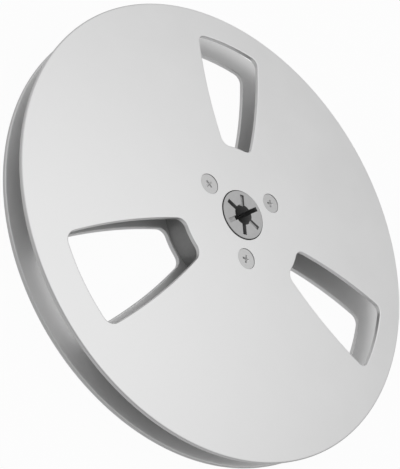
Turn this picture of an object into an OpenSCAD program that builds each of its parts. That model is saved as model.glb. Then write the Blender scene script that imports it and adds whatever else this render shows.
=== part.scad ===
// Open-reel tape reel, empty: two windowed flanges screwed to a hub core, with a keyed spindle bush.
// The reel lies flat with its front face up. The origin is on the spindle axis, at the rear end of the bush.

/* [Flanges] */
// Diameter of both flanges
flange_d = 177.8; // [150:0.1:270]
// Thickness of each flange
flange_t = 1.8; // [1.2:0.1:3]
// Clear width between the flanges, where the tape winds
tape_gap = 9.6; // [8:0.1:16]
// Radius that rounds both edges of a rim
rim_round = 0.5; // [0.2:0.05:0.8]

/* [Windows] */
// Number of windows in a flange, and of screws on each side
window_count = 3; // [3:1:4]
// Width of the solid land between the rim and a window
rim_land = 11.7; // [6:0.1:20]
// Step from the winding wall out to the inner end of a window
hub_step = 0.85; // [0.2:0.05:4]
// Width of a window at its inner end, before the corners are rounded
window_root_w = 13.4; // [9:0.1:16]
// Width of a window at its outer end, before the corners are rounded
window_tip_w = 31.3; // [22:0.1:44]
// How far the sides of a window bulge from straight
window_bulge = 1.7; // [0.5:0.1:3]
// Radius of the corners of a window
window_corner_r = 3.7; // [2:0.1:4]
// How far the rear flange's windows are turned clockwise against the front's, in degrees, seen from the front
rear_turn = 1.05; // [0:0.05:3]

/* [Hub core] */
// Diameter of the winding wall
hub_d = 55.2; // [52:0.1:70]
// Thickness of the winding wall
hub_wall = 2.5; // [1.5:0.1:5]
// Thickness of the web across the middle of the core
web_t = 2.4; // [1.5:0.1:5]
// Thickness of the ribs between the centre and the winding wall
rib_t = 1.8; // [1:0.1:3]
// How far the ribs stay back from the flanges
rib_relief = 0.8; // [0.2:0.1:2]
// Width of the slot that takes the end of the tape
tape_slot_w = 2.2; // [1:0.1:4]
// Diameter of the boss round each screw
boss_d = 9; // [7:0.1:11]

/* [Spindle bush] */
// Diameter of the spindle hole
spindle_d = 8; // [7.5:0.05:8.5]
// Diameter of the ends of the bush, which show in the flanges
bush_d = 19.3; // [18:0.1:22]
// How far the ends of the bush stand proud of the flanges
bush_proud = 0.3; // [0.1:0.05:1]
// Diameter of the collar that is trapped between the flanges
collar_d = 24; // [23:0.1:25]
// Width of the three slots for the wings of the spindle
wing_slot_w = 1.75; // [1.2:0.05:2]
// Diameter across the ends of the slots
wing_slot_d = 16.2; // [14:0.1:17]
// Depth of the lock recesses between the slots
lock_depth = 0.9; // [0.4:0.1:2]
// Rounding of the ends of the bush
bush_round = 0.3; // [0.1:0.05:0.5]
// Width of the keys that stop the bush from turning in the core
key_w = 3; // [2:0.1:5]
// How far the keys stand out of the collar
key_h = 1.2; // [0.6:0.1:2]
// Wall of the core round the collar of the bush
seat_wall = 2.4; // [1.5:0.1:4]

/* [Screws] */
// Diameter of the circle on which the screws lie
screw_circle_d = 35; // [34:0.5:40]
// Diameter of a screw's shank
screw_d = 4; // [3:0.1:5]
// Diameter of a screw's head
head_d = 7.8; // [6.5:0.1:9]
// Height of the straight edge of the head, above its cone
head_land = 0.25; // [0.1:0.05:0.5]
// How far the head lies below the face of the flange
head_sink = 0.3; // [0:0.05:0.4]
// Width across the cross recess in the head
cross_w = 3.2; // [2.4:0.1:4.4]
// Width of one arm of the cross recess
cross_arm = 0.8; // [0.5:0.05:1.2]
// Depth of the cross recess
cross_depth = 1.2; // [0.8:0.1:1.8]
// Space between the ends of a front and a rear screw
screw_end_gap = 1; // [0.4:0.1:3]

/* [Clearances] */
// Radial gap between the bush and the hole in a flange
bush_clear = 0.25; // [0.1:0.05:0.5]
// Gap all round the collar and the keys in their seat
seat_clear = 0.1; // [0.05:0.05:0.3]
// Radial gap round the screw's shank
shank_clear = 0.05; // [0.02:0.01:0.2]
// Radial gap between the screw's head and its countersink
head_clear = 0.1; // [0.05:0.05:0.2]

/* [Hidden] */

// Facets of a full circle: in general, on the rims and on a rounded edge
$fn = 28;
rim_facets = 88;
round_facets = 16;

// Straight steps along half an end, a corner and a side of a window
end_steps = 4;
corner_steps = 6;
side_steps = 8;

// Overshoot of every cut past the face that it opens
over = 1;

// Heights, from the rear end of the bush up
rear_out_z = bush_proud;
rear_in_z = rear_out_z + flange_t;
mid_z = rear_in_z + tape_gap / 2;
front_in_z = rear_in_z + tape_gap;
front_out_z = front_in_z + flange_t;
bush_len = front_out_z + bush_proud;

// One step round the pattern. The first window points to the front, along -Y
step_a = 360 / window_count;
window_a = -90;
screw_a = window_a + step_a / 2;

// Radii of the window's two ends
window_in_r = hub_d / 2 + hub_step;
window_out_r = flange_d / 2 - rim_land;

// The window lies along +X here. Its upper side is an arc from its root to its tip
side_root = [sqrt(pow(window_in_r, 2) - pow(window_root_w / 2, 2)), window_root_w / 2];
side_tip = [sqrt(pow(window_out_r, 2) - pow(window_tip_w / 2, 2)), window_tip_w / 2];
side_chord = norm(side_tip - side_root);
side_r = (pow(side_chord / 2, 2) + pow(window_bulge, 2)) / (2 * window_bulge);
side_dir = (side_tip - side_root) / side_chord;
side_centre = (side_tip + side_root) / 2 + [side_dir[1], -side_dir[0]] * (side_r - window_bulge);

// Where two circles cross, on the +Y side: the first lies about the origin, the second about c
function cross_point(r0, c, r1) =
    let (d = norm(c), u = c / d, a = (r0 * r0 - r1 * r1 + d * d) / (2 * d), h = sqrt(r0 * r0 - a * a),
         p = u * a + [-u[1], u[0]] * h, q = u * a - [-u[1], u[0]] * h)
    p[1] > q[1] ? p : q;

// Centres of the two corner roundings on the upper side
tip_corner = cross_point(window_out_r - window_corner_r, side_centre, side_r - window_corner_r);
root_corner = cross_point(window_in_r + window_corner_r, side_centre, side_r - window_corner_r);

// Directions of the points where the roundings meet the ends and the side
function angle_of(v) = atan2(v[1], v[0]);
tip_a = angle_of(tip_corner);
tip_side_a = angle_of(tip_corner - side_centre);
root_side_a = angle_of(root_corner - side_centre);
root_a = angle_of(root_corner);

// Height of the cone under the screw's head
cone_h = (head_d - screw_d) / 2;
head_z = head_land + cone_h;

// Points along an arc, n steps long, without its last point
function arc(centre, r, from_a, to_a, n) =
    [for (k = [0 : n - 1]) let (a = from_a + (to_a - from_a) * k / n) centre + r * [cos(a), sin(a)]];

// The upper half of a window's outline, from the middle of its outer end to the middle of its inner end
function window_half() = concat(
    arc([0, 0], window_out_r, 0, tip_a, end_steps),
    arc(tip_corner, window_corner_r, tip_a, tip_side_a, corner_steps),
    arc(side_centre, side_r, tip_side_a, root_side_a, side_steps),
    arc(root_corner, window_corner_r, root_side_a, root_a + 180, corner_steps),
    arc([0, 0], window_in_r, root_a, 0, end_steps),
    [[window_in_r, 0]]);

// A whole window along +X: the upper half, and its mirror image back to the start
module window_outline() {
    half = window_half();
    polygon(concat(half, [for (k = [len(half) - 1 : -1 : 1]) [half[k][0], -half[k][1]]]));
}

// Half of the flange's section, from the centre hole to the rounded rim
module flange_section() {
    r_end = flange_d / 2;
    hole_r = bush_d / 2 + bush_clear;
    edge = min(rim_round, 0.49 * flange_t);
    translate([hole_r, 0]) square([r_end - edge - hole_r, flange_t]);
    translate([r_end - 2 * edge, edge]) square([2 * edge, flange_t - 2 * edge]);
    for (z = [edge, flange_t - edge]) translate([r_end - edge, z]) circle(r = edge, $fn = round_facets);
}

// Half of a screw's section, from low to high, widened by a gap round its shank and its head
module screw_section(shank_gap, head_gap, low, high) {
    shank_r = screw_d / 2 + shank_gap;
    head_r = head_d / 2 + head_gap;
    polygon([[0, low], [shank_r, low], [shank_r, -head_sink - head_z],
             [screw_d / 2 + head_gap, -head_sink - head_z],
             [head_r, -head_sink - head_land], [head_r, high], [0, high]]);
}

// Room for one screw, from the flange's outer face at z = 0 down into the core
module screw_room() {
    depth = flange_t + tape_gap;
    rotate_extrude() screw_section(shank_clear, head_clear, -depth, over);
}

// Screw places, on the front for side = 1 and on the rear for side = -1
module at_screw(i, side) {
    z = side > 0 ? front_out_z : rear_out_z;
    rotate([0, 0, screw_a + i * step_a])
        translate([screw_circle_d / 2, 0, z])
            mirror([0, 0, side > 0 ? 0 : 1])
                children();
}

module flange(side) {
    z = side > 0 ? front_in_z : rear_out_z;
    turn = side > 0 ? 0 : -rear_turn;
    difference() {
        translate([0, 0, z]) rotate_extrude($fn = rim_facets) flange_section();
        for (i = [0 : window_count - 1]) {
            rotate([0, 0, window_a + turn + i * step_a])
                translate([0, 0, z - over])
                    linear_extrude(flange_t + 2 * over) window_outline();
            at_screw(i, side) screw_room();
        }
    }
}

module front_flange() {
    color([0.86, 0.86, 0.87]) flange(1);
}

module rear_flange() {
    color([0.8, 0.8, 0.81]) flange(-1);
}

// The collar of the bush with its keys; gap widens it into the seat that it fits
module keyed_collar(gap, h) {
    cylinder(d = collar_d + 2 * gap, h = h);
    for (i = [0 : window_count - 1])
        rotate([0, 0, window_a + i * step_a])
            translate([0, -key_w / 2 - gap, 0])
                cube([collar_d / 2 + key_h + gap, key_w + 2 * gap, h]);
}

// What runs through the core's full height: the winding wall, the seat and the screw bosses
module core_outline(wall_r, seat_r) {
    difference() {
        circle(d = hub_d, $fn = rim_facets);
        circle(r = wall_r, $fn = rim_facets);
    }
    circle(r = seat_r);
    for (i = [0 : window_count - 1])
        rotate(screw_a + i * step_a) translate([screw_circle_d / 2, 0]) circle(d = boss_d);
}

module hub_core() {
    seat_r = collar_d / 2 + key_h + seat_wall;
    wall_r = hub_d / 2 - hub_wall;
    color([0.62, 0.62, 0.63]) difference() {
        union() {
            translate([0, 0, rear_in_z]) linear_extrude(tape_gap) core_outline(wall_r, seat_r);
            translate([0, 0, mid_z - web_t / 2]) cylinder(r = wall_r + hub_wall / 2, h = web_t);
            for (i = [0 : 2 * window_count - 1])
                rotate([0, 0, window_a + i * step_a / 2])
                    translate([seat_r - hub_wall / 2, -rib_t / 2, rear_in_z + rib_relief])
                        cube([wall_r - seat_r + hub_wall, rib_t, tape_gap - 2 * rib_relief]);
        }
        translate([0, 0, rear_in_z - over]) keyed_collar(seat_clear, tape_gap + 2 * over);
        for (i = [0 : window_count - 1], side = [-1, 1]) at_screw(i, side) screw_room();
        // the tape slot opens the winding wall under the second window
        rotate([0, 0, window_a + step_a])
            translate([wall_r - over / 2, rib_t, rear_in_z - over])
                cube([hub_wall + over, tape_slot_w, tape_gap + 2 * over]);
    }
}

// One wing slot, from the axis out along +X, h deep from z = 0 up
module wing_slot(h) {
    translate([0, -wing_slot_w / 2, 0]) cube([wing_slot_d / 2, wing_slot_w, h]);
}

// Section of the bush without its hole: two rounded ends and the collar between the flanges
module bush_section() {
    end_r = bush_d / 2;
    square([end_r - bush_round, bush_len]);
    translate([0, bush_round]) square([end_r, bush_len - 2 * bush_round]);
    for (z = [bush_round, bush_len - bush_round]) translate([end_r - bush_round, z])
        circle(r = bush_round, $fn = round_facets);
}

module spindle_bush() {
    color([0.5, 0.5, 0.5]) difference() {
        union() {
            rotate_extrude() bush_section();
            translate([0, 0, rear_in_z + seat_clear]) keyed_collar(0, tape_gap - 2 * seat_clear);
        }
        translate([0, 0, -over]) cylinder(d = spindle_d, h = bush_len + 2 * over);
        for (i = [0 : 2]) {
            rotate([0, 0, screw_a + i * 120])
                translate([0, 0, -over]) wing_slot(bush_len + 2 * over);
            rotate([0, 0, window_a + i * 120]) {
                translate([0, 0, -over]) wing_slot(lock_depth + over);
                translate([0, 0, bush_len - lock_depth]) wing_slot(lock_depth + over);
            }
        }
    }
}

// A countersunk screw with a cross recess, pointing down, its head's face at z = -head_sink
module screw() {
    reach = flange_t + (tape_gap - screw_end_gap) / 2;
    difference() {
        rotate_extrude() screw_section(0, 0, -reach, -head_sink);
        for (a = [0, 90])
            rotate([0, 0, a])
                translate([-cross_w / 2, -cross_arm / 2, -head_sink - cross_depth])
                    cube([cross_w, cross_arm, cross_depth + over]);
    }
}

module front_screw(i) {
    color([0.75, 0.75, 0.76]) at_screw(i - 1, 1) screw();
}

module rear_screw(i) {
    color([0.75, 0.75, 0.76]) at_screw(i - 1, -1) screw();
}

front_flange();
rear_flange();
hub_core();
spindle_bush();
front_screw(1);  // front_screw_1
front_screw(2);  // front_screw_2
front_screw(3);  // front_screw_3
rear_screw(1);  // rear_screw_1
rear_screw(2);  // rear_screw_2
rear_screw(3);  // rear_screw_3
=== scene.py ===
# %% [markdown]
# # An empty tape reel
#
# A tape reel is two flat aluminium discs screwed to a hub. This script dresses the CAD model of
# such a reel for a photograph. The CAD model gives the places and the main sizes, in metres. The
# script makes the visible pieces again with soft edges, gives them finishes, and adds a floor,
# light and a camera.

import math

import bmesh
import bpy
from mathutils import Matrix, Vector


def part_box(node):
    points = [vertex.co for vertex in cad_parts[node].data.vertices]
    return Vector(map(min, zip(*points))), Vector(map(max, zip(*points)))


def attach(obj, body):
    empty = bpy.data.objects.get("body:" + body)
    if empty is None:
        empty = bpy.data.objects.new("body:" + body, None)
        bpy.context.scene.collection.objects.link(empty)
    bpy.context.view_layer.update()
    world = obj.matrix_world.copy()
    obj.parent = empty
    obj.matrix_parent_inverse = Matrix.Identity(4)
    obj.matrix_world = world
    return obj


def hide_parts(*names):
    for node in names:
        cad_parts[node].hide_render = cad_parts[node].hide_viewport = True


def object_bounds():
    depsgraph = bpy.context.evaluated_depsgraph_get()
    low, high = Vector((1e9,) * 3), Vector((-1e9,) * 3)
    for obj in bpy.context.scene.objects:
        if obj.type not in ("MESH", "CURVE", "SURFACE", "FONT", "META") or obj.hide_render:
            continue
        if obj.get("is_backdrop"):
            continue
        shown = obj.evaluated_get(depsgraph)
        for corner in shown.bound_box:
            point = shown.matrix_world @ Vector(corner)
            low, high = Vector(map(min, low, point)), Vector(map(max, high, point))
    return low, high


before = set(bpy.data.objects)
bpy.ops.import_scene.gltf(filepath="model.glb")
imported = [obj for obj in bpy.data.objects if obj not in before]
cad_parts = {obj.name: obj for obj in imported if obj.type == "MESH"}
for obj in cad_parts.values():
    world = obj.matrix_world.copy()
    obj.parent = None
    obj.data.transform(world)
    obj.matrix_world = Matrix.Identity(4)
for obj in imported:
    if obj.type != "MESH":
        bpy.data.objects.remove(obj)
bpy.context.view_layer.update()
print("CAD nodes:", ", ".join(sorted(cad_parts)))

# %% [markdown]
# ## Sizes
#
# A size can be typed in again or read from the model. The heights and the radius of the flanges are
# read from the CAD model, so nothing can drift apart. The rim is made a hundredth of a millimetre
# smaller, so that no rounding of a number takes the dressed reel outside the CAD model. The other
# sizes, such as a window's width, can't be read from a box, so they are repeated here as real
# sizes, in metres.

# %% Sizes read from the CAD model
MM = 0.001
RIM_INSET = 0.01 * MM
front_low, front_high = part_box("front_flange")
rear_low, rear_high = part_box("rear_flange")
FLANGE_RADIUS = front_high.x - RIM_INSET
FLANGE_THICKNESS = front_high.z - front_low.z
MIDDLE_HEIGHT = (front_high.z + rear_low.z) / 2
print(f"flange {FLANGE_THICKNESS / MM:.2f} mm thick, front face at {front_high.z / MM:.2f} mm")

# %% [markdown]
# The three windows are the same on both flanges. The rear flange's windows are turned by about one
# degree against the front ones, because the two discs are only screwed on, and so they never line
# up exactly. The rims and the window edges are tumbled smooth, so they get a rounding of less than
# half a millimetre.

# %% Sizes of the windows and edges
WINDOW_COUNT = 3
FIRST_WINDOW = math.radians(-90)
REAR_TURN = math.radians(-1.05)
WINDOW_OUTER_RADIUS = 77.2 * MM
WINDOW_INNER_RADIUS = 28.45 * MM
WINDOW_TIP_WIDTH = 31.3 * MM
WINDOW_ROOT_WIDTH = 13.4 * MM
WINDOW_BULGE = 1.7 * MM
WINDOW_CORNER = 3.7 * MM
WINDOW_EDGE_ROUNDING = 0.35 * MM
RIM_EDGE_ROUNDING = 0.5 * MM
BORE_EDGE_ROUNDING = 0.12 * MM
SCREW_HOLE_ROUNDING = 0.06 * MM
window_length = (WINDOW_OUTER_RADIUS - WINDOW_INNER_RADIUS) / MM
print(f"a window is {window_length:.1f} mm long, {WINDOW_TIP_WIDTH / MM:.1f} mm wide at its tip")

# %% [markdown]
# The bush fills the hole in the middle of both flanges, with a narrow gap round it. The screws
# stand on a circle round the bush. Each head lies a little below the face, and has a short straight
# land above its cone, because a sharp edge would chip.

# %% Sizes of the bush and the screws
BUSH_RADIUS = 9.65 * MM
BUSH_GAP = 0.25 * MM
SCREW_CIRCLE_RADIUS = 17.5 * MM
SCREW_HEAD_RADIUS = 3.9 * MM
SCREW_SHANK_RADIUS = 2.0 * MM
SCREW_LENGTH = 5.9 * MM
SCREW_SINK = 0.3 * MM
SCREW_LAND = 0.25 * MM
SCREW_GAP = 0.1 * MM
RECESS_WIDTH = 3.2 * MM
RECESS_ARM = 0.8 * MM
RECESS_DEPTH = 1.2 * MM
print(f"the screws stand {SCREW_CIRCLE_RADIUS / MM:.1f} mm from the spindle's axis")

# %% [markdown]
# ## A way to write node trees
#
# Materials and geometry trees are both made of nodes. They could be laid out by hand in the editor,
# but a script can be read and run again. One small class, `Signal`, stands for the output of a
# node, and lets the maths on it be written as plain Python: `1 - mask` adds the node for it.
# Another class, `Nodes`, adds any other node: its type, its settings, and what goes into its
# sockets.


# %% Signals
class Signal:
    """The value of one output socket, with Python's operators for the maths on it."""

    def __init__(self, nodes, socket):
        self.nodes = nodes
        self.socket = socket

    def math(self, operation, *others):
        values = dict(enumerate((self, *others)))
        return self.nodes.add("ShaderNodeMath", {"operation": operation}, values)

    def math_after(self, operation, first):
        """The operation with another value in front of this one."""
        return self.nodes.add("ShaderNodeMath", {"operation": operation}, {0: first, 1: self})

    def __add__(self, other):
        return self.math("ADD", other)

    def __radd__(self, other):
        return self.math_after("ADD", other)

    def __sub__(self, other):
        return self.math("SUBTRACT", other)

    def __rsub__(self, other):
        return self.math_after("SUBTRACT", other)

    def __mul__(self, other):
        return self.math("MULTIPLY", other)

    def __rmul__(self, other):
        return self.math_after("MULTIPLY", other)

    def __truediv__(self, other):
        return self.math("DIVIDE", other)

    def __rtruediv__(self, other):
        return self.math_after("DIVIDE", other)

    def __pow__(self, other):
        return self.math("POWER", other)

    def __rpow__(self, other):
        return self.math_after("POWER", other)

    def __neg__(self):
        return self.math("MULTIPLY", -1)

    def __lt__(self, other):
        return self.math("LESS_THAN", other)

    def __gt__(self, other):
        return self.math("GREATER_THAN", other)


print("a signal knows +, -, *, /, **, < and >")

# %% [markdown]
# The second class adds nodes to one tree. A node's settings come first, because some of them change
# which sockets the node has. A socket gets a value or a link, and one that joins several links gets
# a list.


# %% Nodes
def grey(level):
    """A grey as the four numbers of a colour."""
    return (level, level, level, 1)


class Nodes:
    """Adds nodes to one tree."""

    def __init__(self, tree):
        self.tree = tree

    def add(self, kind, settings=None, inputs=None, output=0):
        """A node with its settings and what goes into its sockets. Returns one of its outputs."""
        made = self.tree.nodes.new(kind)
        for name, value in (settings or {}).items():
            if name == "stops":
                self.fill_ramp(made.color_ramp, value)
            else:
                setattr(made, name, value)
        for key, value in (inputs or {}).items():
            for one in value if isinstance(value, list) else [value]:
                self.feed(made.inputs[key], one)
        return Signal(self, made.outputs[output]) if made.outputs else made

    def feed(self, socket, value):
        if isinstance(value, Signal):
            self.tree.links.new(value.socket, socket)
        else:
            socket.default_value = value

    def fill_ramp(self, ramp, stops):
        while len(ramp.elements) < len(stops):
            ramp.elements.new(1.0)
        for element, (position, level) in zip(ramp.elements, stops):
            element.position = position
            element.color = grey(level)


print("node helpers ready")

# %% [markdown]
# ## The finishes
#
# Every finish starts in the same way: an empty tree and the place of the point that is shaded. That
# place is read as Object coordinates, not as a picture wrapped round the piece, because then no
# seam shows and the pattern has its real size in metres.


# %% Start a material
def new_material(name):
    """A material with an empty tree, and its nodes."""
    material = bpy.data.materials.new(name)
    material.use_nodes = True
    material.node_tree.nodes.clear()
    return material, Nodes(material.node_tree)


def object_place(nodes):
    """The place of the shaded point, in metres."""
    return nodes.add("ShaderNodeTexCoord", output="Object")


def finish_material(nodes, shader):
    nodes.add("ShaderNodeOutputMaterial", {}, {"Surface": shader})


print("a material starts from the place of the shaded point")

# %% [markdown]
# All finishes use the same few patterns. They could be written out each time, but as helpers they
# get a name, and so do their numbers: noise for clouds and pits, a bump made from it, a value that
# changes between two limits, and a colour between two others.


# %% Patterns and colours
def noise(nodes, place, scale, detail):
    """Soft blotches, about as many to the metre as the scale says."""
    return nodes.add("ShaderNodeTexNoise", {}, {
        "Vector": place, "Scale": scale, "Detail": detail})


def relief(nodes, pattern, strength, depth):
    return nodes.add("ShaderNodeBump", {}, {
        "Strength": strength, "Distance": depth, "Height": pattern})


def change(nodes, value, start, end, low=0.0, high=1.0):
    """Goes from low to high while the value goes from start to end."""
    return nodes.add("ShaderNodeMapRange", {}, {
        "Value": value, "From Min": start, "From Max": end, "To Min": low, "To Max": high})


def mix(nodes, factor, first, second):
    """A colour between two others. Sockets 6 and 7, and output 2, are the node's colours."""
    return nodes.add("ShaderNodeMix", {"data_type": "RGBA"},
                     {0: factor, 6: first, 7: second}, output=2)


def blend_grey(nodes, factor, low, high):
    """A grey that goes from low to high with the factor."""
    return mix(nodes, factor, grey(low), grey(high))


print("helpers for patterns and colours ready")

# %% [markdown]
# Where a finish changes over a piece, it follows a measure of the shaded point: its height, its
# distance from the middle of the reel, or its distance from the spindle's axis. A painted mask
# could do the same, but a measure is exact on every piece and needs no picture.


# %% Measures of a point
def z_of(nodes, vector):
    return nodes.add("ShaderNodeSeparateXYZ", {}, {0: vector}, output="Z")


def from_middle(nodes, place):
    """Distance above or below the middle of the reel."""
    return (z_of(nodes, place) - MIDDLE_HEIGHT).math("ABSOLUTE")


def radius_of(nodes, place):
    """Distance from the spindle's axis."""
    flat = nodes.add("ShaderNodeVectorMath", {"operation": "MULTIPLY"}, {0: place, 1: (1, 1, 0)})
    return nodes.add("ShaderNodeVectorMath", {"operation": "LENGTH"}, {0: flat}, output="Value")


print("heights are measured from", round(MIDDLE_HEIGHT / MM, 2), "mm")

# %% [markdown]
# ### Satin aluminium
#
# The flanges are sheet aluminium with a satin, anodised face. A photograph of such a sheet could be
# laid on them, but noise that follows the rings of a lathe is sharper at any distance. A metal's
# base colour is what it reflects, so the grey is nearly white. Slow clouds vary the grey and the
# gloss, as the etching bath does, and fine grain and rings go into the bump. The rim is painted a
# little darker, as painted shade. On the inner faces the grey is painted darker away from the rim,
# as painted shade for the deep gap between the flanges, and these faces are a little rougher. These
# faces are found by their height from the middle of the reel.

# %% Satin aluminium of the flanges
FINE_GRAIN = 2600.0
INNER_FACE = front_low.z - MIDDLE_HEIGHT


def satin_aluminium():
    material, nodes = new_material("satin_aluminium")
    place = object_place(nodes)
    radius = radius_of(nodes, place)
    clouds = noise(nodes, place, scale=45.0, detail=4.0)
    grain = noise(nodes, place, scale=FINE_GRAIN, detail=2.0)
    rings = nodes.add("ShaderNodeTexNoise", {"noise_dimensions": "1D"}, {
        "W": radius * FINE_GRAIN, "Scale": 1.0, "Detail": 3.0})
    # Painted shade: this mask paints the rim a little darker.
    rim = change(nodes, radius, FLANGE_RADIUS - 0.5 * MM, FLANGE_RADIUS - 0.15 * MM)
    inner = change(nodes, from_middle(nodes, place), INNER_FACE + 0.1 * MM, INNER_FACE + 0.6 * MM,
                   low=1.0, high=0.0)
    # Painted shade: on the inner faces the grey darkens away from the rim, deeper in the gap.
    gap_shade = change(nodes, radius, FLANGE_RADIUS - 8 * MM, FLANGE_RADIUS - 1 * MM,
                    low=-0.12, high=0.15)
    sheet = blend_grey(nodes, clouds * 0.27 + 0.45 + inner * gap_shade, 0.70, 0.92)
    shader = nodes.add("ShaderNodeBsdfPrincipled", {}, {
        "Base Color": mix(nodes, rim, sheet, grey(0.68)),
        "Metallic": 0.85,
        "Roughness": clouds * 0.08 + inner * 0.07 + 0.38,
        "Normal": relief(nodes, grain * 0.5 + rings * 0.5, strength=0.035, depth=0.05 * MM),
    })
    finish_material(nodes, shader)
    return material


ALUMINIUM = satin_aluminium()
print("nodes in the satin aluminium:", len(ALUMINIUM.node_tree.nodes))

# %% [markdown]
# ### Cast aluminium
#
# The hub is a die casting that nobody polishes, because the tape covers it. It is darker and duller
# than the sheet, with shallow pits. One noise drives the grey, the gloss and the bump together,
# because in a casting a pit is darker and rougher at the same place.


# %% Cast aluminium of the hub
def cast_aluminium():
    material, nodes = new_material("cast_aluminium")
    pits = noise(nodes, object_place(nodes), scale=900.0, detail=4.0)
    shader = nodes.add("ShaderNodeBsdfPrincipled", {}, {
        "Base Color": blend_grey(nodes, pits, 0.28, 0.37),
        "Metallic": 0.6,
        "Roughness": pits * 0.15 + 0.42,
        "Normal": relief(nodes, pits, strength=0.15, depth=0.1 * MM),
    })
    finish_material(nodes, shader)
    return material


CASTING = cast_aluminium()
print("nodes in the cast aluminium:", len(CASTING.node_tree.nodes))

# %% [markdown]
# ### The grey bush
#
# The bush is moulded in a hard grey plastic, and its flat faces show that grey. The walls of the
# hole and the slots are painted much darker, as painted shade for the deep hole and slots. Two
# materials could be given to two sets of faces. One material that looks at which way a face points
# does it without a list of faces, and gives a soft border at the rounded edges. The painted shade
# is darkest at the outer wall, as painted shade for the narrow gap round the bush.


# %% Grey bush
def bush_grey():
    material, nodes = new_material("bush_grey")
    place = object_place(nodes)
    mottle = noise(nodes, place, scale=500.0, detail=4.0)
    facing = nodes.add("ShaderNodeTexCoord", output="Normal")
    flat = change(nodes, z_of(nodes, facing).math("ABSOLUTE"), 0.55, 0.95)
    # Painted shade: the walls get a dark grey, darkest at the outer wall for the gap round the
    # bush.
    outer_wall_shade = change(nodes, radius_of(nodes, place), BUSH_RADIUS - 1.2 * MM, BUSH_RADIUS - 0.4 * MM)
    painted_wall_shade = blend_grey(nodes, outer_wall_shade, 0.16, 0.05)
    face = blend_grey(nodes, mottle, 0.49, 0.59)
    shader = nodes.add("ShaderNodeBsdfPrincipled", {}, {
        "Base Color": mix(nodes, flat, painted_wall_shade, face),
        "Roughness": mottle * 0.12 + 0.40,
        "Normal": relief(nodes, mottle, strength=0.08, depth=0.1 * MM),
    })
    finish_material(nodes, shader)
    return material


BUSH_GREY = bush_grey()
print("nodes in the bush's grey:", len(BUSH_GREY.node_tree.nodes))

# %% [markdown]
# ### Plated steel
#
# The screws are plated steel: a darker metal than the flanges, smoother, with fine speckles. In the
# cross recess the grey is painted lighter, as painted light, so the recess is less dark than its
# shade would make it. The recess is found by its height, measured from the middle of the reel, so
# one material serves the front screws and the rear ones.

# %% Plated screws
LIT_RECESS_DEPTH = 0.06 * MM


def plated_steel():
    material, nodes = new_material("plated_steel")
    place = object_place(nodes)
    speckle = noise(nodes, place, scale=1800.0, detail=3.0)
    plating_grey = blend_grey(nodes, speckle, 0.52, 0.62)
    face_height = front_high.z - SCREW_SINK - MIDDLE_HEIGHT
    # Painted light: below this depth the recess gets a lighter grey than the plating.
    recess = from_middle(nodes, place) < face_height - LIT_RECESS_DEPTH
    shader = nodes.add("ShaderNodeBsdfPrincipled", {}, {
        "Base Color": mix(nodes, recess, plating_grey, grey(0.74)),
        "Metallic": 1.0,
        "Roughness": speckle * 0.12 + 0.26,
    })
    finish_material(nodes, shader)
    return material


PLATED = plated_steel()
print("nodes in the plated steel:", len(PLATED.node_tree.nodes))

# %% [markdown]
# ## The outline of a window
#
# Each window is a slice of a ring with slightly bulged sides and round corners. It lets the user
# see how much tape is left, and put a finger to it. A polygon with bevelled corners would come
# close, but real arcs keep the long sides smooth. The outline is made of two ends about the
# spindle's axis, two long sides and four corners. A corner's centre lies where the end and the side
# cross, both moved in by the corner's radius.


# %% Arcs
def crossing(r0, centre, r1):
    """Where a circle about the origin crosses one about centre, on the +Y side."""
    distance = centre.length
    along = centre / distance
    across = Vector((-along.y, along.x))
    reach = (r0 * r0 - r1 * r1 + distance * distance) / (2 * distance)
    rise = math.sqrt(r0 * r0 - reach * reach)
    return max(along * reach + across * rise, along * reach - across * rise, key=lambda p: p.y)


def direction(vector):
    return math.atan2(vector.y, vector.x)


def arc_points(centre, radius, start, end, steps):
    """Points along an arc, without its last point."""
    angles = [start + (end - start) * k / steps for k in range(steps)]
    return [centre + Vector((math.cos(a), math.sin(a))) * radius for a in angles]


CORNER_STEPS = 12
quarter = arc_points(Vector((0, 0)), WINDOW_CORNER, 0, math.pi / 2, CORNER_STEPS)
print("points round a quarter of a corner's circle:", len(quarter))

# %% The window's outline
HALF_END_STEPS = 8
SIDE_STEPS = 24


def window_points():
    """The closed outline of a window along +X."""
    root_half, tip_half = WINDOW_ROOT_WIDTH / 2, WINDOW_TIP_WIDTH / 2
    root = Vector((math.sqrt(WINDOW_INNER_RADIUS**2 - root_half**2), root_half))
    tip = Vector((math.sqrt(WINDOW_OUTER_RADIUS**2 - tip_half**2), tip_half))
    chord = (tip - root).length
    side_radius = ((chord / 2) ** 2 + WINDOW_BULGE**2) / (2 * WINDOW_BULGE)
    along = (tip - root) / chord
    inward = Vector((along.y, -along.x))
    side = (tip + root) / 2 + inward * (side_radius - WINDOW_BULGE)
    side_reach = side_radius - WINDOW_CORNER
    tip_corner = crossing(WINDOW_OUTER_RADIUS - WINDOW_CORNER, side, side_reach)
    root_corner = crossing(WINDOW_INNER_RADIUS + WINDOW_CORNER, side, side_reach)
    axis = Vector((0, 0))
    tip_turn, root_turn = direction(tip_corner), direction(root_corner)
    tip_side, root_side = direction(tip_corner - side), direction(root_corner - side)
    half = (
        arc_points(axis, WINDOW_OUTER_RADIUS, 0, tip_turn, HALF_END_STEPS)
        + arc_points(tip_corner, WINDOW_CORNER, tip_turn, tip_side, CORNER_STEPS)
        + arc_points(side, side_radius, tip_side, root_side, SIDE_STEPS)
        + arc_points(root_corner, WINDOW_CORNER, root_side, root_turn + math.pi, CORNER_STEPS)
        + arc_points(axis, WINDOW_INNER_RADIUS, root_turn, 0, HALF_END_STEPS)
        + [Vector((WINDOW_INNER_RADIUS, 0))]
    )
    return half + [Vector((p.x, -p.y)) for p in reversed(half[1:-1])]


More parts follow.
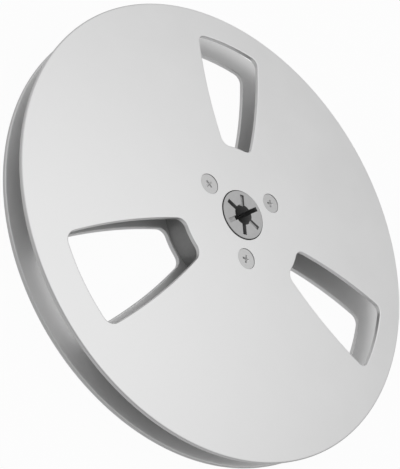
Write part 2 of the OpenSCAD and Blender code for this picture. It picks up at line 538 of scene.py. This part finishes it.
def outline_mesh(name, points):
    """A closed line of edges through flat points."""
    mesh = bpy.data.meshes.new(name)
    edges = [(k, (k + 1) % len(points)) for k in range(len(points))]
    mesh.from_pydata([(p.x, p.y, 0) for p in points], edges, [])
    return mesh


print("points round a window:", len(window_points()))

# %% [markdown]
# ## Geometry trees
#
# The flanges and the screws follow rules: the same window or screw three times round an axis.
# Geometry Nodes say such a rule once, with named inputs for the sizes, so a change of count or
# thickness rebuilds the piece. The first helpers open a tree and close it with Realize Instances
# and Set Material.


# %% Helpers for a geometry tree
def geometry_tree(name, inputs):
    """A tree with named inputs. Returns the tree, its nodes and a signal for each input."""
    tree = bpy.data.node_groups.new(name, "GeometryNodeTree")
    for label, kind in inputs.items():
        tree.interface.new_socket(name=label, in_out="INPUT", socket_type="NodeSocket" + kind)
    tree.interface.new_socket(name="Geometry", in_out="OUTPUT", socket_type="NodeSocketGeometry")
    nodes = Nodes(tree)
    entry = tree.nodes.new("NodeGroupInput")
    signals = {label: Signal(nodes, entry.outputs[k]) for k, label in enumerate(inputs)}
    return tree, nodes, signals


def realized(nodes, geometry):
    return nodes.add("GeometryNodeRealizeInstances", {}, {"Geometry": geometry})


def end_tree(nodes, geometry, material):
    """Realize Instances and Set Material, and out."""
    coated = nodes.add("GeometryNodeSetMaterial", {}, {
        "Geometry": realized(nodes, geometry), "Material": material})
    nodes.add("NodeGroupOutput", {}, {"Geometry": coated})


print("a tree can be opened and closed")

# %% [markdown]
# The other helpers place and join what a tree makes. A ring of copies could be laid out point by
# point. Here the index of each point gives its turn, so the count can change without a new list.
# Parts that touch are welded, because open edges inside a body would show as seams.


# %% Place and join geometry
def vector(nodes, x=0.0, y=0.0, z=0.0):
    return nodes.add("ShaderNodeCombineXYZ", {}, {"X": x, "Y": y, "Z": z})


def transform(nodes, geometry, **changes):
    """The geometry moved, turned or scaled: Translation, Rotation, Scale."""
    return nodes.add("GeometryNodeTransform", {}, {"Geometry": geometry, **changes})


def lifted(nodes, geometry, height):
    return transform(nodes, geometry, Translation=vector(nodes, z=height))


def round_the_axis(nodes, geometry, count, first_turn, radius):
    """Instances of the geometry on a circle, each turned to face outwards."""
    turn = nodes.add("GeometryNodeInputIndex") * (2 * math.pi) / count + first_turn
    spot = vector(nodes, turn.math("COSINE") * radius, turn.math("SINE") * radius)
    points = nodes.add("GeometryNodePoints", {}, {"Count": count, "Position": spot})
    return nodes.add("GeometryNodeInstanceOnPoints", {}, {
        "Points": points, "Instance": geometry, "Rotation": vector(nodes, z=turn)})


WELD_DISTANCE = 0.002 * MM


def weld(nodes, parts):
    """The parts in one mesh, with the points merged where they meet."""
    whole = nodes.add("GeometryNodeJoinGeometry", {}, {"Geometry": parts})
    return nodes.add("GeometryNodeMergeByDistance", {}, {
        "Geometry": whole, "Distance": WELD_DISTANCE})


print(f"points closer than {WELD_DISTANCE / MM:.3f} mm are welded")

# %% [markdown]
# ## The flanges
#
# On the real flange the window edges and the rim are stamped and then tumbled, so no edge is sharp.
# The disc could be cut with booleans and bevelled, but a bevel leaves slivers where it meets the
# fine arcs. Here every edge, at the rim, the bore, the windows and the screws, is one short section
# swept along its outline. The section is a U of four corners, and the fillet rounds the two in the
# middle. The two legs of the U end in an open line on each side, and the flat faces fill what lies
# between these lines.

# %% The edge of a disc, swept along an outline
STRIP = 0.3 * MM
ROUNDING_STEPS = 6


def swept_edge(nodes, outline, corners, rounding):
    """A section of four corners, as distance from the outline and height, swept along it."""
    points = {f"Point {k + 1}": vector(nodes, out, -height)
              for k, (out, height) in enumerate(corners)}
    section = nodes.add("GeometryNodeCurvePrimitiveQuadrilateral", {"mode": "POINTS"}, points)
    section = nodes.add("GeometryNodeSetSplineCyclic", {}, {"Geometry": section, "Cyclic": False})
    section = nodes.add("GeometryNodeFilletCurve", {"mode": "POLY"}, {
        "Curve": section, "Count": ROUNDING_STEPS, "Radius": rounding, "Limit Radius": True})
    upright = nodes.add("GeometryNodeSetCurveNormal", {"mode": "Z_UP"}, {"Curve": outline})
    return nodes.add("GeometryNodeCurveToMesh", {}, {
        "Curve": upright, "Profile Curve": section})


def plate_edge(nodes, outline, thickness, rounding, side):
    """The edge of a plate that lies outside the outline for side 1, inside it for side -1."""
    strip = (rounding + STRIP) * side
    corners = [(strip, thickness), (0.0, thickness), (0.0, 0.0), (strip, 0.0)]
    return swept_edge(nodes, outline, corners, rounding)


def flat_face(nodes, edges, height, wanted):
    """A flat face that fills the open edges of the swept strips on one side of the disc."""
    faces_beside = nodes.add("GeometryNodeInputMeshEdgeNeighbors")
    open_lines = nodes.add("GeometryNodeMeshToCurve", {}, {
        "Mesh": edges, "Selection": (faces_beside < 2) * wanted})
    face = nodes.add("GeometryNodeFillCurve", {"mode": "TRIANGLES"}, {"Curve": open_lines})
    return lifted(nodes, face, height)


print(f"edges are rounded in {ROUNDING_STEPS} steps")

# %% [markdown]
# The tree of a flange has four kinds of outline: the rim and the bore are circles, the windows come
# from the outline above, and the mouths of the screw holes are circles set round the axis. A screw
# hole's section is a short straight land and then the countersink, and the last step merges the
# points where sections and faces meet, so the disc is one closed body.

# %% The tree of a flange
RIM_FACETS = 240
BORE_FACETS = 96
SCREW_FACETS = 48


def circle(nodes, facets, radius):
    return nodes.add("GeometryNodeCurvePrimitiveCircle", {}, {
        "Resolution": facets, "Radius": radius})


def flange_tree():
    tree, nodes, given = geometry_tree("flange_disc", {
        "Window Outline": "Geometry", "Window Count": "Int", "Window Turn": "Float",
        "Screw Turn": "Float", "Rim Radius": "Float", "Thickness": "Float",
        "Rim Rounding": "Float", "Window Rounding": "Float", "Bore Radius": "Float",
        "Screw Circle": "Float", "Screw Mouth": "Float", "Screw Throat": "Float",
        "Screw Land": "Float", "Finish": "Material",
    })
    count, thickness = given["Window Count"], given["Thickness"]
    window = nodes.add("GeometryNodeMeshToCurve", {}, {"Mesh": given["Window Outline"]})
    windows = realized(nodes, round_the_axis(nodes, window, count, given["Window Turn"], 0.0))
    rim = circle(nodes, RIM_FACETS, given["Rim Radius"])
    bore = circle(nodes, BORE_FACETS, given["Bore Radius"])
    mouth = circle(nodes, SCREW_FACETS, given["Screw Mouth"])
    mouths = realized(nodes, round_the_axis(
        nodes, mouth, count, given["Screw Turn"], given["Screw Circle"]))
    countersink = [(STRIP, thickness), (0.0, thickness), (0.0, thickness - given["Screw Land"]),
                   (given["Screw Throat"] - given["Screw Mouth"], 0.0)]
    edges = nodes.add("GeometryNodeJoinGeometry", {}, {"Geometry": [
        plate_edge(nodes, rim, thickness, given["Rim Rounding"], -1),
        plate_edge(nodes, windows, thickness, given["Window Rounding"], 1),
        plate_edge(nodes, bore, thickness, BORE_EDGE_ROUNDING, 1),
        swept_edge(nodes, mouths, countersink, SCREW_HOLE_ROUNDING),
    ]})
    height = z_of(nodes, nodes.add("GeometryNodeInputPosition"))
    top = flat_face(nodes, edges, thickness, height > thickness * 0.5)
    bottom = flat_face(nodes, edges, 0.0, height < thickness * 0.5)
    end_tree(nodes, weld(nodes, [edges, top, bottom]), given["Finish"])
    return tree


FLANGE_TREE = flange_tree()
print("flange tree:", len(FLANGE_TREE.nodes), "nodes")

# %% [markdown]
# ## From a tree to a piece
#
# Every piece needs the same few steps, whether a tree makes it or not: an object in the scene, a
# plain mesh of what its modifiers make, one material, and smooth shading that keeps real edges
# crisp.


# %% Objects and meshes
def add_object(name, data):
    """A new object in the scene."""
    made = bpy.data.objects.new(name, data)
    bpy.context.scene.collection.objects.link(made)
    return made


def evaluated_mesh(thing):
    """A plain mesh of what the object's modifiers make."""
    graph = bpy.context.evaluated_depsgraph_get()
    return bpy.data.meshes.new_from_object(thing.evaluated_get(graph), depsgraph=graph)


def set_material(mesh, material):
    mesh.materials.clear()
    mesh.materials.append(material)
    mesh.polygons.foreach_set("material_index", [0] * len(mesh.polygons))


def shade(mesh, sharp_angle):
    """Smooth shading, with the edges above the angle kept crisp."""
    mesh.shade_smooth()
    mesh.set_sharp_from_angle(angle=math.radians(sharp_angle))


print("object helpers ready")

# %% [markdown]
# A tree runs as a modifier on a small source mesh. It could stay live, but other programs can't
# read it, so what it makes is copied into a plain mesh and the modifier goes. The mesh is then put
# in its place in the reel, and the object itself stays at the origin. Open edges are counted,
# because a solid must have none.

# %% Make a piece from a tree
DOUBLED = 0.001 * MM


def set_inputs(modifier, values):
    for item in modifier.node_group.interface.items_tree:
        if item.in_out == "INPUT" and item.name in values:
            modifier[item.identifier] = values[item.name]


def close_mesh(mesh):
    """Merges doubled points and turns the faces outwards. Returns the number of open edges."""
    work = bmesh.new()
    work.from_mesh(mesh)
    bmesh.ops.remove_doubles(work, verts=work.verts, dist=DOUBLED)
    bmesh.ops.recalc_face_normals(work, faces=work.faces)
    open_edges = sum(1 for e in work.edges if len(e.link_faces) != 2)
    work.to_mesh(mesh)
    work.free()
    return open_edges


def piece_from_tree(name, tree, source, values, place, sharp_angle):
    holder = add_object(name + "_source", source)
    modifier = holder.modifiers.new("shape", "NODES")
    modifier.node_group = tree
    set_inputs(modifier, values)
    mesh = evaluated_mesh(holder)
    bpy.data.objects.remove(holder)
    mesh.name = name
    set_material(mesh, values["Finish"])
    mesh.transform(place)
    open_edges = close_mesh(mesh)
    shade(mesh, sharp_angle)
    print(f"{name}: {len(mesh.polygons)} faces, {open_edges} open edges")
    return add_object(name, mesh)


print("a tree's result becomes a plain mesh, closed and shaded smooth")

# %% [markdown]
# Both flanges are the same stamping. The rear one is turned over, so that its countersinks face
# out. A mirror would turn the mesh inside out, and a real disc can't be mirrored either, so it is
# rotated about the X axis.

# %% The two flanges
SCREW_TURN = FIRST_WINDOW + math.pi / WINDOW_COUNT
FLANGE_VALUES = {
    "Window Count": WINDOW_COUNT, "Rim Radius": FLANGE_RADIUS, "Thickness": FLANGE_THICKNESS,
    "Rim Rounding": RIM_EDGE_ROUNDING, "Window Rounding": WINDOW_EDGE_ROUNDING,
    "Bore Radius": BUSH_RADIUS + BUSH_GAP, "Screw Circle": SCREW_CIRCLE_RADIUS,
    "Screw Mouth": SCREW_HEAD_RADIUS + SCREW_GAP, "Screw Land": SCREW_SINK + SCREW_LAND,
    "Screw Throat": SCREW_HEAD_RADIUS + SCREW_GAP - (FLANGE_THICKNESS - SCREW_SINK - SCREW_LAND),
    "Finish": ALUMINIUM,
}


def flange(name, place, window_turn, screw_turn):
    values = {**FLANGE_VALUES, "Window Turn": window_turn, "Screw Turn": screw_turn}
    outline = outline_mesh(name + "_window", window_points())
    return piece_from_tree(name, FLANGE_TREE, outline, values, place, sharp_angle=40)


upside_down = Matrix.Rotation(math.pi, 4, "X")
front_seat = Matrix.Translation((0, 0, front_low.z))
rear_seat = Matrix.Translation((0, 0, rear_high.z)) @ upside_down
front_flange = flange("front_flange_disc", front_seat, FIRST_WINDOW, SCREW_TURN)
rear_flange = flange("rear_flange_disc", rear_seat, -(FIRST_WINDOW + REAR_TURN), -SCREW_TURN)
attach(front_flange, "root")
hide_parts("front_flange")
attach(rear_flange, "root")
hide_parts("rear_flange")

# %% [markdown]
# ## The hub and the bush
#
# The hub core and the bush already have their full shape in the CAD model, with ribs, bosses and
# slots, so there is nothing to model again. They only lack the small radius that a mould leaves on
# every edge, and that catches a line of light. A copy of each is taken, its loose triangles are
# merged, its flat faces are joined, and a bevel rounds what is left of sharp edges.

# %% Copies of CAD nodes with softened edges
FLAT_ANGLE = math.radians(1)
BEVEL_ANGLE = math.radians(40)
BEVEL_STEPS = 2


def softened_copy(name, node, finish, width):
    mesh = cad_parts[node].data.copy()
    mesh.name = name
    set_material(mesh, finish)
    work = bmesh.new()
    work.from_mesh(mesh)
    bmesh.ops.remove_doubles(work, verts=work.verts, dist=DOUBLED)
    bmesh.ops.dissolve_limit(work, angle_limit=FLAT_ANGLE, verts=work.verts, edges=work.edges)
    work.to_mesh(mesh)
    work.free()
    piece = add_object(name, mesh)
    bevel = piece.modifiers.new("soft_edges", "BEVEL")
    bevel.width = width
    bevel.segments = BEVEL_STEPS
    bevel.limit_method = "ANGLE"
    bevel.angle_limit = BEVEL_ANGLE
    soft = evaluated_mesh(piece)
    piece.modifiers.clear()
    piece.data = soft
    shade(soft, sharp_angle=30)
    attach(piece, "root")
    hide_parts(node)
    print(f"{name}: {len(soft.polygons)} faces")
    return piece


hub = softened_copy("hub_core_casting", "hub_core", CASTING, width=0.15 * MM)

# %% [markdown]
# The bush is pressed into the hub. Three long slots let the wings of the spindle pass, and three
# short dips between them hold the wings when the spindle's tip is turned, so that a reel can hang
# on an upright machine. Its edges are finer than those of the casting, so its bevel is narrower.

# %% The bush
bush = softened_copy("spindle_bush_soft", "spindle_bush", BUSH_GREY, width=0.1 * MM)

# %% [markdown]
# ## The screws
#
# Three countersunk screws hold each flange to the hub. A modelled screw could be copied by hand,
# but then each change has to be made six times. One tree makes the screw once and sets it round the
# axis. Its body is turned like a real one: a narrow land, a cone and the shank, each an open ring
# of faces, with a disc at both ends. Merging the points where they meet closes it. The thread is
# hidden in the hub, so it isn't made.


# %% The body of a screw
def screw_body(nodes, head, shank, land, length):
    """A closed body whose face is at height 0 and whose end is at -length."""
    neck = land + head - shank
    rim = nodes.add("GeometryNodeMeshCylinder", {"fill_type": "NONE"}, {
        "Vertices": SCREW_FACETS, "Radius": head, "Depth": land})
    cone = nodes.add("GeometryNodeMeshCone", {"fill_type": "NONE"}, {
        "Vertices": SCREW_FACETS, "Radius Top": head, "Radius Bottom": shank,
        "Depth": head - shank})
    stem = nodes.add("GeometryNodeMeshCylinder", {"fill_type": "NONE"}, {
        "Vertices": SCREW_FACETS, "Radius": shank, "Depth": length - neck})
    face = nodes.add("GeometryNodeMeshCircle", {"fill_type": "NGON"}, {
        "Vertices": SCREW_FACETS, "Radius": head})
    end = nodes.add("GeometryNodeMeshCircle", {"fill_type": "NGON"}, {
        "Vertices": SCREW_FACETS, "Radius": shank})
    end = nodes.add("GeometryNodeFlipFaces", {}, {"Mesh": end})
    return weld(nodes, [
        lifted(nodes, rim, land * -0.5),
        lifted(nodes, cone, -neck),
        lifted(nodes, stem, (length + neck) * -0.5),
        face,
        lifted(nodes, end, -length),
    ])


print("a screw's head is", round(2 * SCREW_HEAD_RADIUS / MM, 1), "mm across")

# %% [markdown]
# The cross recess is pressed into the face with a pointed punch. The same punch is made here: two
# tapered bars across each other and a blunt cone in the middle. A boolean takes them away from the
# body. That is costly for many screws, but the cut is made once, before the screw is repeated.

# %% The cross recess
BAR_TAPER = 0.2
BAR_SINK = 0.98
TIP_TAPER = 0.3
TIP_SINK = 0.48
TIP_FACETS = 24


def cross_punch(nodes, width, arm, depth):
    """The three parts of the punch. Their tops stand out above height 0, so the cut is clean."""
    block = nodes.add("GeometryNodeMeshCone", {}, {
        "Vertices": 4, "Radius Top": math.sqrt(0.5), "Radius Bottom": BAR_TAPER, "Depth": 1.0})
    block = transform(nodes, block, Translation=vector(nodes, z=-BAR_SINK),
                      Rotation=vector(nodes, z=math.pi / 4))
    bar = transform(nodes, block, Scale=vector(nodes, width, arm, depth))
    other = transform(nodes, bar, Rotation=vector(nodes, z=math.pi / 2))
    tip = nodes.add("GeometryNodeMeshCone", {}, {
        "Vertices": TIP_FACETS, "Radius Top": width * TIP_TAPER, "Radius Bottom": arm * TIP_TAPER,
        "Depth": depth})
    return [bar, other, lifted(nodes, tip, depth * -TIP_SINK)]


print("the punch has two bars and a tip")

# %% [markdown]
# A screw stops at its own angle when it is tight, so no two recesses point the same way. A random
# value with a fixed seed turns each one in its own place, and gives the same angles in every run.


# %% The tree of a set of screws
def screw_tree():
    tree, nodes, given = geometry_tree("countersunk_screws", {
        "Start": "Geometry", "Count": "Int", "First Turn": "Float", "Circle Radius": "Float",
        "Head Radius": "Float", "Shank Radius": "Float", "Land": "Float", "Length": "Float",
        "Recess Width": "Float", "Recess Arm": "Float", "Recess Depth": "Float",
        "Seed": "Int", "Finish": "Material",
    })
    body = screw_body(nodes, given["Head Radius"], given["Shank Radius"], given["Land"],
                      given["Length"])
    punch = cross_punch(nodes, given["Recess Width"], given["Recess Arm"], given["Recess Depth"])
    cut = nodes.add("GeometryNodeMeshBoolean", {"operation": "DIFFERENCE", "solver": "EXACT"}, {
        "Mesh 1": body, "Mesh 2": punch})
    screws = round_the_axis(nodes, cut, given["Count"], given["First Turn"],
                            given["Circle Radius"])
    # Sockets 2 and 3 are the limits of a random number, and output 1 is the number.
    spin = nodes.add("FunctionNodeRandomValue", {"data_type": "FLOAT"}, {
        2: 0.0, 3: math.pi / 2, "Seed": given["Seed"]}, output=1)
    screws = nodes.add("GeometryNodeRotateInstances", {}, {
        "Instances": screws, "Rotation": vector(nodes, z=spin), "Local Space": True})
    end_tree(nodes, screws, given["Finish"])
    return tree


SCREW_TREE = screw_tree()
print("screw tree:", len(SCREW_TREE.nodes), "nodes")

# %% [markdown]
# The front screws sit between the windows, with their faces a little below the flange, so that
# nothing catches the tape or the user's fingers. The rear ones are the same set turned over. They
# are hidden in the photograph, but the reel is used from both sides, and its rear flange has to be
# held too.

# %% The front and the rear screws
SCREW_VALUES = {
    "Count": WINDOW_COUNT, "Circle Radius": SCREW_CIRCLE_RADIUS,
    "Head Radius": SCREW_HEAD_RADIUS, "Shank Radius": SCREW_SHANK_RADIUS, "Land": SCREW_LAND,
    "Length": SCREW_LENGTH, "Recess Width": RECESS_WIDTH, "Recess Arm": RECESS_ARM,
    "Recess Depth": RECESS_DEPTH, "Finish": PLATED,
}


def screw_set(name, place, first_turn, seed, nodes_replaced):
    values = {**SCREW_VALUES, "First Turn": first_turn, "Seed": seed}
    start = bpy.data.meshes.new(name + "_start")
    piece = piece_from_tree(name, SCREW_TREE, start, values, place, sharp_angle=30)
    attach(piece, "root")
    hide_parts(*nodes_replaced)
    return piece


front_place = Matrix.Translation((0, 0, front_high.z - SCREW_SINK))
rear_place = Matrix.Translation((0, 0, rear_low.z + SCREW_SINK)) @ upside_down
screw_set("front_screws", front_place, SCREW_TURN, 3, [f"front_screw_{k}" for k in (1, 2, 3)])
screw_set("rear_screws", rear_place, -SCREW_TURN, 8, [f"rear_screw_{k}" for k in (1, 2, 3)])

# %% [markdown]
# ## The floor
#
# The photograph has a pure white background. More light on a white floor would give that, but it
# would burn out the reel too. So the floor shows plain white to the camera, mixed with a little of
# its true lit surface, and the reel's shadow stays visible but faint. In the metal's reflections it
# is only partly white, as paper under a lamp is.

# %% White floor
FLOOR_HALF = 3.0
FLOOR_DROP = 0.2 * MM
WHITE_TO_CAMERA = 0.96
WHITE_IN_METAL = 0.35
PAINT_GREY = 0.6


def floor_white():
    material, nodes = new_material("floor_white")
    seen = nodes.add("ShaderNodeLightPath", output="Is Camera Ray")
    through = nodes.add("ShaderNodeLightPath", output="Is Transmission Ray")
    mirrored = nodes.add("ShaderNodeLightPath", output="Is Glossy Ray")
    glow = nodes.add("ShaderNodeEmission", {}, {"Color": grey(1), "Strength": 1.0})
    paint = nodes.add("ShaderNodeBsdfDiffuse", {}, {"Color": grey(PAINT_GREY)})
    share = (seen + through) * WHITE_TO_CAMERA + mirrored * WHITE_IN_METAL
    shader = nodes.add("ShaderNodeMixShader", {}, {0: share, 1: paint, 2: glow})
    finish_material(nodes, shader)
    return material


floor_corners = [(x * FLOOR_HALF, y * FLOOR_HALF, -FLOOR_DROP)
                 for x, y in ((-1, -1), (1, -1), (1, 1), (-1, 1))]
floor_mesh = bpy.data.meshes.new("floor")
floor_mesh.from_pydata(floor_corners, [], [(0, 1, 2, 3)])
floor_mesh.materials.append(floor_white())
floor = add_object("floor", floor_mesh)
floor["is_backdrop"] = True
print(f"a floor of {2 * FLOOR_HALF:.0f} by {2 * FLOOR_HALF:.0f} m")

# %% [markdown]
# ## Light
#
# Bare metal shows what is round it, so the studio matters more than the lamps. Soft light comes
# from a pale world that is brighter overhead than at the horizon: faces that look up are light and
# the walls of the windows are darker. A bright patch low on the left stands for a soft box, and
# lights the gap between the flanges from that side. The side where the photographer stands is
# dimmer, as it is in a real studio. All this light is grey, so the maths on it works with plain
# numbers, where colours would have to go through Mix nodes.

# %% World
SKY_STOPS = [(0.0, 0.26), (0.35, 0.37), (0.53, 0.55), (0.71, 0.83), (0.84, 1.0), (1.0, 1.0)]
SKY_STRENGTH = 1.02
SOFT_BOX_SIDE = (-0.90, -0.40, 0.15)
SOFT_BOX_LEVEL = 0.65
SOFT_BOX_FOCUS = 5.0
DARK_SIDE = (0.067, -0.763, 0.643)
DARK_SHARE = 0.4
DARK_FOCUS = 1.5


def toward(nodes, place, side, focus):
    """1 towards the side, falling to 0 across it, and faster with more focus."""
    along = nodes.add("ShaderNodeVectorMath", {"operation": "DOT_PRODUCT"},
                      {0: place, 1: side}, output="Value")
    return along.math("MAXIMUM", 0.0) ** focus


def studio_world():
    world = bpy.data.worlds.new("studio")
    world.use_nodes = True
    world.node_tree.nodes.clear()
    nodes = Nodes(world.node_tree)
    place = nodes.add("ShaderNodeTexCoord", output="Generated")
    sky = nodes.add("ShaderNodeValToRGB", {"stops": SKY_STOPS}, {0: z_of(nodes, place)})
    level = sky * (1 - toward(nodes, place, DARK_SIDE, DARK_FOCUS) * DARK_SHARE)
    level = level + toward(nodes, place, SOFT_BOX_SIDE, SOFT_BOX_FOCUS) * SOFT_BOX_LEVEL
    seen = nodes.add("ShaderNodeLightPath", output="Is Camera Ray")
    light = nodes.add("ShaderNodeBackground", {}, {
        "Color": mix(nodes, seen, level, grey(1)), "Strength": SKY_STRENGTH})
    nodes.add("ShaderNodeOutputWorld", {}, {"Surface": light})
    return world


bpy.context.scene.world = studio_world()
print("nodes in the world:", len(bpy.context.scene.world.node_tree.nodes))

# %% [markdown]
# One large, weak lamp stands behind the reel, high up. It gives the slow change of tone over the
# face, from light at the far left to a little darker at the near right, and the faint highlight in
# the screws.


# %% Lamp
def outward(azimuth, elevation):
    """A direction of length 1, from its azimuth and elevation in degrees."""
    a, e = math.radians(azimuth), math.radians(elevation)
    return Vector((math.cos(e) * math.cos(a), math.cos(e) * math.sin(a), math.sin(e)))


def area_lamp(name, azimuth, elevation, distance, size, power):
    data = bpy.data.lights.new(name, "AREA")
    data.shape = "SQUARE"
    data.size = size
    data.energy = power
    lamp = add_object(name, data)
    lamp.location = outward(azimuth, elevation) * distance
    lamp.rotation_euler = lamp.location.to_track_quat("Z", "Y").to_euler()
    return lamp


key_lamp = area_lamp("key_lamp", azimuth=100, elevation=62, distance=1.2, size=0.9, power=0.7)
print("lamp at", tuple(round(v, 2) for v in key_lamp.location), "m")

# %% [markdown]
# ## The camera
#
# The camera stands at the photograph's angle. It could be placed by eye, but the picture holds two
# circles of known size, the rims, and six window outlines, and these fix it. It looks down at 45
# degrees, almost along the first window, and is rolled by 61 degrees, so the reel's axis leans to
# the upper right of the picture. It is near, at about three reel radii, which is why the near side
# of the rim looks so much larger.

# %% Camera
AIM = Vector((0.57 * MM, -24.68 * MM, front_high.z))
CAMERA_AZIMUTH = -85.35
CAMERA_ELEVATION = 44.99
CAMERA_ROLL = 60.67
CAMERA_DISTANCE = 264.64 * MM
LENS = 58.48


def photo_camera():
    data = bpy.data.cameras.new("photo_camera")
    data.lens = LENS
    data.sensor_width = 36
    data.clip_start = 0.01
    camera = add_object("photo_camera", data)
    away = outward(CAMERA_AZIMUTH, CAMERA_ELEVATION)
    level = away.to_track_quat("Z", "Y").to_matrix()
    roll = Matrix.Rotation(math.radians(CAMERA_ROLL), 3, "Z")
    turned = (level @ roll).to_4x4()
    camera.matrix_world = Matrix.Translation(AIM + away * CAMERA_DISTANCE) @ turned
    return camera


bpy.context.scene.camera = photo_camera()
bpy.context.scene.view_settings.view_transform = "Standard"
print("camera at", tuple(round(v / MM) for v in bpy.context.scene.camera.location), "mm")

# %% [markdown]
# ## Finish
#
# The box round the dressed model is measured, and its height is printed.

# %% Finish
visual_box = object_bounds()
dressed_height = (visual_box[1][2] - visual_box[0][2]) / MM
print("height of the dressed reel:", round(dressed_height, 2), "mm")
